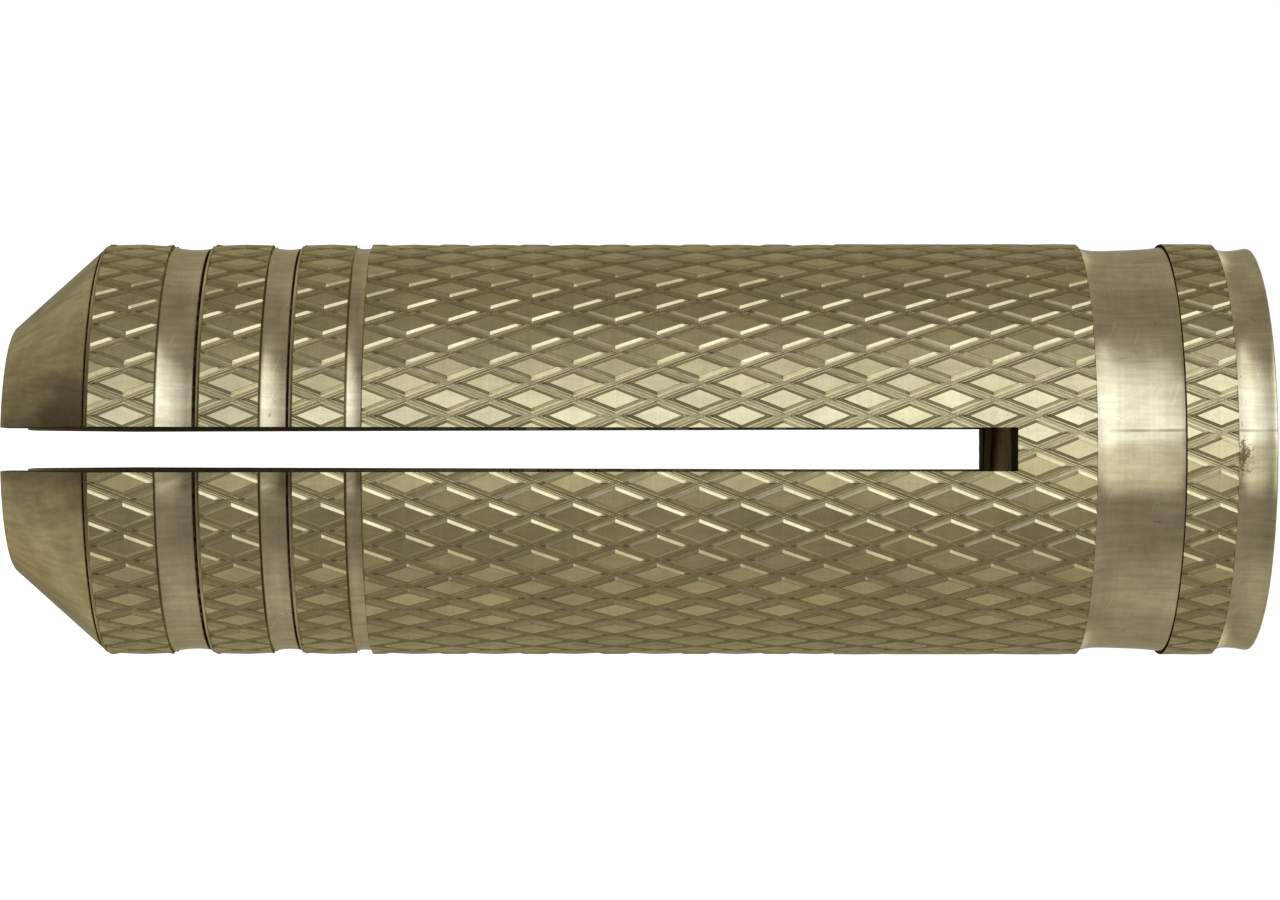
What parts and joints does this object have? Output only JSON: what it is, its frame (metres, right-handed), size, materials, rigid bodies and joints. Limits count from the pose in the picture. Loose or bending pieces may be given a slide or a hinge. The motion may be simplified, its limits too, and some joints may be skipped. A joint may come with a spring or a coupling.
{
  "type": "brass expansion anchor",
  "caption": "Turned brass sleeve anchor with a tapped bore, knurled bands and a slotted cone nose whose legs spread in a drilled hole when a machine screw is driven in.",
  "frame": {"origin": "centre of the flat rear face, where the screw goes in, which the sleeve stands on", "axes": "+Z along the sleeve's axis from the rear face to the nose; the deeper saw slot lies in the plane X = 0 and the shallower one in the plane Y = 0"},
  "size_m": [0.01, 0.01, 0.0299],
  "materials": {
    "brass": "turned, knurled and slightly tarnished brass"
  },
  "bodies": {
    "root": {"anchor_sleeve": "brass"}
  },
  "joints": []
}
